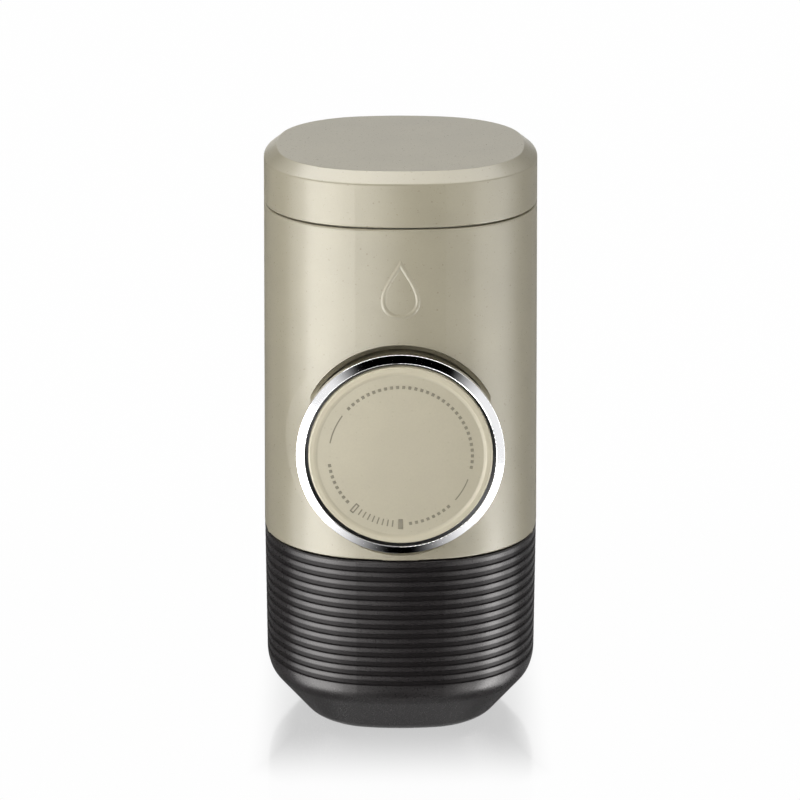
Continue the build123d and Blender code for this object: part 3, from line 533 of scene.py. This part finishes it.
class MAKER_OT_cup(bpy.types.Operator):
    """Give the ribbed cup its dark satin plastic"""

    bl_idname = "maker.cup"
    bl_label = "Cup"

    def execute(self, context):
        scene = context.scene
        charcoal_plastic(scene.maker_colours, scene.maker_cup).give_to(*with_slot("charcoal"))
        return {"FINISHED"}


class MAKER_OT_knob_ring(bpy.types.Operator):
    """Give the ring round the knob its chrome"""

    bl_idname = "maker.knob_ring"
    bl_label = "Knob ring"

    def execute(self, context):
        bright_chrome(context.scene.maker_colours).give_to(*with_slot("chrome"))
        return {"FINISHED"}


class MAKER_OT_inner_plastics(bpy.types.Operator):
    """Give the pump, chamber, locking pieces and tank their moulded plastics"""

    bl_idname = "maker.inner_plastics"
    bl_label = "Inner plastics"

    def execute(self, context):
        colours = context.scene.maker_colours
        for slot, rough in (("inner_plastic", 0.42), ("tank_plastic", 0.34)):
            moulded_plastic(slot, getattr(colours, slot), rough).give_to(*with_slot(slot))
        return {"FINISHED"}


class MAKER_OT_metal_pieces(bpy.types.Operator):
    """Give the screws, springs, balls and plates their steel"""

    bl_idname = "maker.metal_pieces"
    bl_label = "Metal pieces"

    def execute(self, context):
        drawn_steel(context.scene.maker_colours).give_to(*with_slot("steel"))
        return {"FINISHED"}


class MAKER_OT_seals(bpy.types.Operator):
    """Give the gaskets and seals their silicone and rubber"""

    bl_idname = "maker.seals"
    bl_label = "Seals"

    def execute(self, context):
        colours = context.scene.maker_colours
        for slot, rough in (("silicone", 0.50), ("seal_rubber", 0.58)):
            soft_seal(slot, getattr(colours, slot), rough).give_to(*with_slot(slot))
        return {"FINISHED"}


# How far before the knob its face is looked for
RAY_START = 10 * MM
# Depth of a mark as a share of its height, so that its foot is sunk, and bevel as a share of its width
MARK_DEPTH = 1.5
MARK_BEVEL = 0.12
# Fineness of the thin arcs
ARC_STEP = radians(2.0)
ARC_STEPS_MIN = 4
# Where the arcs run and the rows of dots start, in degrees clockwise from the top
THIN_ARCS = ((-79, -54), (110, 130))
UPPER_DOTS_START = -46
SIDE_DOTS_STARTS = (138, 228)
# The scale has this many more spaces than ticks, and its ticks stand this share of a space further on
TICK_LEAD = 0.6
MORE_SPACES = 2.0


def knob_middle(radius):
    """Middle of the knob, at the depth that its face has at a radius."""
    low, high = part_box("knob_disc")
    middle = Vector(((low.x + high.x) / 2, 0.0, (low.z + high.z) / 2))
    start = (middle.x + radius, low.y - RAY_START, middle.z)
    hit, face, _, _ = NODES["knob_disc"].ray_cast(start, (0.0, 1.0, 0.0))
    if not hit:
        raise RuntimeError("the knob has no front face")
    middle.y = face.y
    return middle


def dial_top(middle, dial):
    """Place of a mark at the top of the dial."""
    return (middle.x, middle.y - dial.height / 2, middle.z + dial.radius)


def mark_block(middle, wide, long, dial):
    """One raised mark at the top of the dial, its edges softened."""
    bpy.ops.object.select_all(action="DESELECT")
    size = (wide, dial.height * MARK_DEPTH, long)
    bpy.ops.mesh.primitive_cube_add(size=1.0, location=dial_top(middle, dial), scale=size)
    block = bpy.context.object
    bevel = min(wide, long) * MARK_BEVEL
    edit(block, lambda: bpy.ops.mesh.bevel(offset=bevel, segments=2, affect="EDGES"))
    return settle(block, "mark_block")


def turned_to(block, middle, turn):
    """Swing a mark clockwise round the dial's middle."""
    swing = Matrix.Translation(middle) @ Matrix.Rotation(turn, 4, "Y") @ Matrix.Translation(-middle)
    block.data.transform(swing)
    return block


def mark_arc(middle, start, end, dial):
    """A thin arc swept round the dial from a small flat section."""
    bpy.ops.object.select_all(action="DESELECT")
    place = dial_top(middle, dial)
    bpy.ops.mesh.primitive_plane_add(size=1.0, location=place, rotation=(0.0, pi / 2, 0.0))
    arc = bpy.context.object
    arc.scale = (dial.line, dial.height * MARK_DEPTH, 1.0)
    settle(arc, "mark_arc")
    turned_to(arc, middle, start)
    steps = max(ARC_STEPS_MIN, int(abs(end - start) / ARC_STEP))
    edit(
        arc,
        lambda: bpy.ops.mesh.spin(
            steps=steps, angle=start - end, center=tuple(middle), axis=(0.0, 1.0, 0.0)
        ),
    )
    tidy_faces(arc)
    return arc


class MAKER_OT_dial_marks(bpy.types.Operator):
    """Lay the lock scale, thin arcs and dotted arcs on the knob"""

    bl_idname = "maker.dial_marks"
    bl_label = "Dial marks"

    def execute(self, context):
        dial = context.scene.maker_dial
        middle = knob_middle(dial.radius)
        marks = []
        tick = mark_block(middle, dial.tick_wide, dial.tick_long, dial)
        span = dial.scale_end - dial.scale_start
        for step in range(1, dial.ticks + 1):
            turn = dial.scale_start + span * (step + TICK_LEAD) / (dial.ticks + MORE_SPACES)
            marks.append(turned_to(copy_of(tick), middle, turn))
        bpy.data.objects.remove(tick)
        closed_bar = mark_block(middle, dial.bar_wide, dial.bar_long, dial)
        marks.append(turned_to(closed_bar, middle, dial.scale_start))
        for side in (-1, 1):
            rail = mark_block(middle, dial.tick_wide, dial.bar_long, dial)
            rail.data.transform(Matrix.Translation((side * (dial.bar_wide - dial.tick_wide) / 2, 0.0, 0.0)))
            marks.append(turned_to(rail, middle, dial.scale_end))
            cap = mark_block(middle, dial.bar_wide, dial.tick_wide, dial)
            cap.data.transform(Matrix.Translation((0.0, 0.0, side * (dial.bar_long - dial.tick_wide) / 2)))
            marks.append(turned_to(cap, middle, dial.scale_end))
        for start, end in THIN_ARCS:
            marks.append(mark_arc(middle, radians(start), radians(end), dial))
        dot = mark_block(middle, dial.dot, dial.dot, dial)
        rows = [(UPPER_DOTS_START, dial.dots)]
        rows += [(start, dial.side_dots) for start in SIDE_DOTS_STARTS]
        for start, dots in rows:
            for step in range(dots):
                marks.append(turned_to(copy_of(dot), middle, radians(start) + step * dial.dot_pitch))
        bpy.data.objects.remove(dot)
        piece = joined(marks, "dial_marks")
        piece.data.materials.clear()
        piece.data.materials.append(mark_ink(context.scene.maker_colours).material)
        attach(piece, "knob")
        return {"FINISHED"}


# Outline of the drop: its points, its share of the width, and the power that draws its top to a point
DROP_POINTS = 64
DROP_FULLNESS = 0.70
DROP_SHARPNESS = 1.35
# How far before the body it is drawn, and how far below its middle it narrows to, as a share of its height
DROP_START = 2 * MM
HEART_DROP = 0.16
# Its line: the rise from edge to edge, and how many line widths it takes off across and upright
BAND_RISE = (-0.30, 0.75, 1.0, 0.75, -0.30)
BAND_ACROSS = 2.0
BAND_UPRIGHT = 2.9
SMOOTH_ANGLE = radians(60)


def drop_outline(drop, depth):
    """A ring of points in the shape of a drop, before the body."""
    bpy.ops.object.select_all(action="DESELECT")
    bpy.ops.mesh.primitive_circle_add(vertices=DROP_POINTS, radius=1.0, fill_type="NOTHING")
    outline = bpy.context.object
    for v in outline.data.vertices:
        turn = 2 * pi * v.index / DROP_POINTS
        aside = sin(turn) * abs(sin(turn / 2)) ** DROP_SHARPNESS
        v.co = Vector((
            aside * drop.width * DROP_FULLNESS,
            depth,
            drop.centre + cos(turn) * drop.height / 2,
        ))
    return outline


def widen_inwards(outline, drop, depth):
    """Draw the outline inwards in rows, into a flat band."""
    heart = (0.0, depth, drop.centre - drop.height * HEART_DROP)
    across = BAND_ACROSS * drop.band / drop.width
    upright = BAND_UPRIGHT * drop.band / drop.height
    rows = len(BAND_RISE) - 1
    inward = []
    for row in range(rows):
        before = row / rows
        after = (row + 1) / rows
        shrink = [(1.0 - after * part) / (1.0 - before * part) for part in (across, 0.0, upright)]
        inward.append(lambda: bpy.ops.mesh.extrude_region())
        inward.append(lambda by=shrink: bpy.ops.transform.resize(value=by, center_override=heart))
    edit(outline, *inward)


class MAKER_OT_front_drop(bpy.types.Operator):
    """Raise a plain drop outline on the front of the body"""

    bl_idname = "maker.front_drop"
    bl_label = "Front drop"

    def execute(self, context):
        drop = context.scene.maker_drop
        low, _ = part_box("body_shell")
        depth = low.y - DROP_START
        piece = drop_outline(drop, depth)
        widen_inwards(piece, drop, depth)
        wrap = piece.modifiers.new("on_body", "SHRINKWRAP")
        wrap.target = NODES["body_shell"]
        wrap.wrap_method = "PROJECT"
        wrap.use_project_y = True
        wrap.use_positive_direction = True
        wrap.use_negative_direction = False
        only(piece)
        bpy.ops.object.modifier_apply(modifier="on_body")
        for v in piece.data.vertices:
            v.co.y -= drop.relief * BAND_RISE[v.index // DROP_POINTS]
        thick = piece.modifiers.new("back", "SOLIDIFY")
        thick.thickness = drop.relief * 2
        thick.offset = -1.0
        edit(piece, lambda: bpy.ops.mesh.normals_make_consistent(inside=False))
        only(piece)
        bpy.ops.object.modifier_apply(modifier="back")
        settle(piece, "front_drop")
        bpy.ops.object.shade_smooth_by_angle(angle=SMOOTH_ANGLE)
        piece.data.materials.clear()
        piece.data.materials.append(bpy.data.materials["sand_plastic"])
        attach(piece, "main_body")
        return {"FINISHED"}


# Softboxes: place, size (m) and the setting that has the power; all look at one point
SOFTBOXES = (
    ("left_softbox", (-0.20, -0.23, 0.26), (0.14, 0.26), "left_power"),
    ("right_softbox", (0.42, -0.40, 0.30), (0.16, 0.50), "right_power"),
    ("top_softbox", (0.0, 0.10, 0.80), (0.7, 0.6), "top_power"),
)
LIGHT_AIM = (0.0, 0.0, 0.07)
# Cards that stand round the object: reach (m), turn from the front and width (degrees), foot, head (m)
# and glow; where the glow changes, also the glow at the sides and the share of the width before it does
STANDING_CARDS = (
    ("camera_flag", 1.15, 1.9, 40.4, -0.65, 1.25, 0.0),
    ("fade_card", 1.20, 1.9, 66.0, 0.0, 1.25, 0.0, 1.0, 0.56),
    ("left_far_card", 0.55, -84.5, 19.0, -0.14, 0.10, 2.2),
    ("left_far_low_card", 0.55, -86.5, 17.0, -0.50, -0.14, 4.4),
    ("left_key_card", 0.55, -57.5, 35.0, -0.14, 0.10, 6.8),
    ("left_key_low_card", 0.55, -59.0, 38.0, -0.50, -0.14, 8.2),
    ("left_near_card", 0.55, -31.0, 18.0, -0.125, 0.10, 5.8),
    ("left_near_low_card", 0.55, -31.0, 18.0, -0.50, -0.125, 3.2),
    ("left_fade_card", 0.55, -17.0, 10.0, -0.125, 0.10, 4.2),
    ("left_edge_card", 0.55, -7.5, 9.0, -0.125, 0.10, 2.8),
    ("right_card", 0.55, 72.0, 45.0, -0.14, 0.10, 2.9),
    ("right_low_card", 0.55, 75.0, 20.0, -0.50, -0.14, 12.5),
    ("right_low_near_card", 0.55, 51.0, 28.0, -0.50, -0.14, 3.3),
    ("right_low_far_card", 0.55, 96.0, 22.0, -0.50, -0.14, 4.2),
    ("left_wing", 0.90, -132.0, 64.0, -0.70, 0.60, 0.12),
    ("right_wing", 0.90, 138.0, 56.0, -0.70, 0.60, 0.25),
    ("back_flag", 1.00, 180.0, 60.0, -0.70, -0.02, 0.0),
    ("back_card", 1.00, 180.0, 60.0, 0.30, 0.80, 0.72),
)
# Cards that lie flat over or under it: middle, size (m), glow and the same two values
LYING_CARDS = (
    ("over_left_card", (-0.34, 0.08, 0.80), (0.68, 0.66), 6.7),
    ("over_right_card", (0.34, 0.08, 0.80), (0.68, 0.66), 4.6),
    ("under_back_card", (0.0, 0.20, -0.50), (0.36, 0.80), 0.42),
    ("under_left_back_card", (-0.68, 0.35, -0.50), (1.00, 1.10), 0.12),
    ("under_right_back_card", (0.68, 0.35, -0.50), (1.00, 1.10), 0.12),
    ("under_front_card", (0.0, -0.50, -0.50), (0.68, 0.50), 0.0, 1.2, 0.12),
)
SENSOR_WIDTH = 36.0
# Floor: its size, its gap under the object, and its matt and glossy shares
FLOOR_SIZE = 12.0
FLOOR_GAP = 0.02 * MM
MATT_ROUGH = 0.6
GLOSS_ROUGH = 0.12
GLOSS_SHARE = 0.85
# Share of plain white on the floor near the object and away from it
WHITE_SHARES = (0.56, 0.98)
# Where that share starts to grow and is full (m): by distance from the middle, sideways and in depth
ROUND_FADE = (0.036, 0.058)
SIDE_FADES = {"X": (0.0235, 0.0345), "Y": (0.0193, 0.053)}


def softbox(name, place, size, energy):
    """A rectangular studio light that reflections don't show."""
    light = bpy.data.lights.new(name, "AREA")
    light.shape = "RECTANGLE"
    light.size, light.size_y = size
    light.energy = energy
    lamp = bpy.data.objects.new(name, light)
    bpy.context.collection.objects.link(lamp)
    lamp.location = place
    lamp.rotation_euler = (Vector(LIGHT_AIM) - Vector(place)).to_track_quat("-Z", "Y").to_euler()
    lamp.visible_glossy = False


def white_seen(tree):
    """One where the camera, a reflection or a see-through ray looks."""
    path = tree.nodes.new("ShaderNodeLightPath")
    seen = path.outputs["Is Camera Ray"]
    for ray in ("Is Glossy Ray", "Is Transmission Ray"):
        seen = calculated(tree, "MAXIMUM", seen, path.outputs[ray])
    return seen


def grade_card(tree, glow, side_glow, inner_share):
    """Let a card's glow change from its middle to its left and right edges."""
    aside = calculated(tree, "ABSOLUTE", place_along(tree, object_place(tree), "X"))
    grade = ranged(tree, aside, inner_share / 2, 1 / 2, glow, side_glow, blend="SMOOTHSTEP")
    tree.links.new(grade, tree.nodes["Principled BSDF"].inputs["Emission Strength"])


def reflection_card(name, place, target, size, glow, *grading):
    """A white or black card seen only in reflections, as round a product on a studio table."""
    bpy.ops.object.select_all(action="DESELECT")
    bpy.ops.mesh.primitive_plane_add(size=1.0, location=place)
    card = bpy.context.object
    card.rotation_euler = (Vector(target) - Vector(place)).to_track_quat("Z", "Y").to_euler()
    card.scale = (*size, 1.0)
    card.name = name
    cloth = bpy.data.materials.new(name)
    cloth.use_nodes = True
    cloth.cycles.emission_sampling = "NONE"
    surface = cloth.node_tree.nodes["Principled BSDF"]
    surface.inputs["Base Color"].default_value = BLACK
    surface.inputs["Specular IOR Level"].default_value = 0.0
    surface.inputs["Emission Color"].default_value = WHITE
    surface.inputs["Emission Strength"].default_value = glow
    if grading:
        grade_card(cloth.node_tree, glow, *grading)
    card.data.materials.append(cloth)
    card.visible_camera = False
    card.visible_diffuse = False
    card.visible_shadow = False


class MAKER_OT_stage(bpy.types.Operator):
    """Set the floor, lights, world and camera"""

    bl_idname = "maker.stage"
    bl_label = "Stage"

    def execute(self, context):
        stage = context.scene.maker_stage
        scene = context.scene
        scene.view_settings.view_transform = "Standard"
        self.floor(stage)
        self.world(stage)
        for name, place, size, setting in SOFTBOXES:
            softbox(name, place, size, getattr(stage, setting))
        for name, reach, turn, wide, low, high, *glows in STANDING_CARDS:
            bearing = radians(turn)
            place = (reach * sin(bearing), -reach * cos(bearing), (low + high) / 2)
            size = (2 * reach * tan(radians(wide / 2)), high - low)
            reflection_card(name, place, (0.0, 0.0, place[2]), size, *glows)
        for name, place, size, *glows in LYING_CARDS:
            reflection_card(name, place, (place[0], place[1], 0.0), size, *glows)
        lens = bpy.data.cameras.new("front_camera")
        lens.lens = stage.lens
        lens.sensor_width = SENSOR_WIDTH
        lens.shift_x = stage.shift
        camera = bpy.data.objects.new("front_camera", lens)
        context.collection.objects.link(camera)
        camera.location = (0.0, -stage.distance, stage.camera_height)
        camera.rotation_euler = (stage.tilt, 0.0, 0.0)
        scene.camera = camera
        return {"FINISHED"}

    def floor(self, stage):
        """A pale floor that reflects the object close to it and is plain white farther away."""
        bpy.ops.object.select_all(action="DESELECT")
        place = (0.0, 0.0, CAD_BOX[0][2] - FLOOR_GAP)
        bpy.ops.mesh.primitive_plane_add(size=FLOOR_SIZE, location=place)
        floor = bpy.context.object
        floor.name = "floor"
        material = bpy.data.materials.new("pale_floor")
        material.use_nodes = True
        tree = material.node_tree
        matt = tree.nodes["Principled BSDF"]
        matt.inputs["Base Color"].default_value = (*stage.floor, 1.0)
        matt.inputs["Roughness"].default_value = MATT_ROUGH
        gloss = node(tree, "ShaderNodeBsdfGlossy", {"Roughness": GLOSS_ROUGH})
        layers = {0: GLOSS_SHARE, 1: matt.outputs[0], 2: gloss.outputs[0]}
        surface = node(tree, "ShaderNodeMixShader", layers)
        glow = node(tree, "ShaderNodeEmission", {"Strength": 1.0})
        share = calculated(tree, "MULTIPLY", white_seen(tree), self.white_share(tree))
        both = node(tree, "ShaderNodeMixShader", {0: share, 1: surface.outputs[0], 2: glow.outputs[0]})
        tree.links.new(both.outputs[0], tree.nodes["Material Output"].inputs["Surface"])
        floor.data.materials.append(material)
        floor.visible_glossy = False

    def white_share(self, tree):
        """Share of plain white on the floor, which grows as the reflection fades."""
        place = object_place(tree)
        reach = node(tree, "ShaderNodeVectorMath", {0: place}, operation="LENGTH").outputs["Value"]
        white = ranged(tree, reach, *ROUND_FADE, *WHITE_SHARES, blend="SMOOTHSTEP")
        for axis, fade in SIDE_FADES.items():
            away = calculated(tree, "ABSOLUTE", place_along(tree, place, axis))
            side = ranged(tree, away, *fade, *WHITE_SHARES, blend="SMOOTHSTEP")
            white = calculated(tree, "MAXIMUM", white, side)
        return white

    def world(self, stage):
        """Even light, and plain white where it is seen."""
        world = bpy.data.worlds.new("studio")
        bpy.context.scene.world = world
        world.use_nodes = True
        tree = world.node_tree
        even = tree.nodes["Background"]
        even.inputs["Color"].default_value = WHITE
        strength = ranged(tree, white_seen(tree), 0.0, 1.0, stage.ambient, 1.0)
        tree.links.new(strength, even.inputs["Strength"])


class MAKER_PT_panel(bpy.types.Panel):
    """Coffee maker finishes, marks and stage"""

    bl_idname = "MAKER_PT_panel"
    bl_label = "Coffee maker"
    bl_space_type = "VIEW_3D"
    bl_region_type = "UI"
    bl_category = "Coffee maker"

    def draw(self, context):
        for group in GROUPS:
            box = self.layout.box()
            for name in GROUPS[group].__annotations__:
                box.prop(getattr(context.scene, group), name)
        for operator in OPERATORS:
            self.layout.operator(operator.bl_idname)


GROUPS = {
    "maker_colours": MakerColours,
    "maker_dial": MakerDial,
    "maker_drop": MakerDrop,
    "maker_cup": MakerCup,
    "maker_stage": MakerStage,
}
OPERATORS = (
    MAKER_OT_sand_shells,
    MAKER_OT_cup,
    MAKER_OT_knob_ring,
    MAKER_OT_inner_plastics,
    MAKER_OT_metal_pieces,
    MAKER_OT_seals,
    MAKER_OT_dial_marks,
    MAKER_OT_front_drop,
    MAKER_OT_stage,
)


def register():
    for group, made in GROUPS.items():
        bpy.utils.register_class(made)
        setattr(bpy.types.Scene, group, PointerProperty(type=made))
    for operator in OPERATORS:
        bpy.utils.register_class(operator)
    bpy.utils.register_class(MAKER_PT_panel)


def unregister():
    bpy.utils.unregister_class(MAKER_PT_panel)
    for operator in reversed(OPERATORS):
        bpy.utils.unregister_class(operator)
    for group, made in reversed(GROUPS.items()):
        delattr(bpy.types.Scene, group)
        bpy.utils.unregister_class(made)


def main():
    register()
    bpy.ops.maker.sand_shells()
    bpy.ops.maker.cup()
    bpy.ops.maker.knob_ring()
    bpy.ops.maker.inner_plastics()
    bpy.ops.maker.metal_pieces()
    bpy.ops.maker.seals()
    bpy.ops.maker.dial_marks()
    bpy.ops.maker.front_drop()
    bpy.ops.maker.stage()


if __name__ == "__main__":
    main()
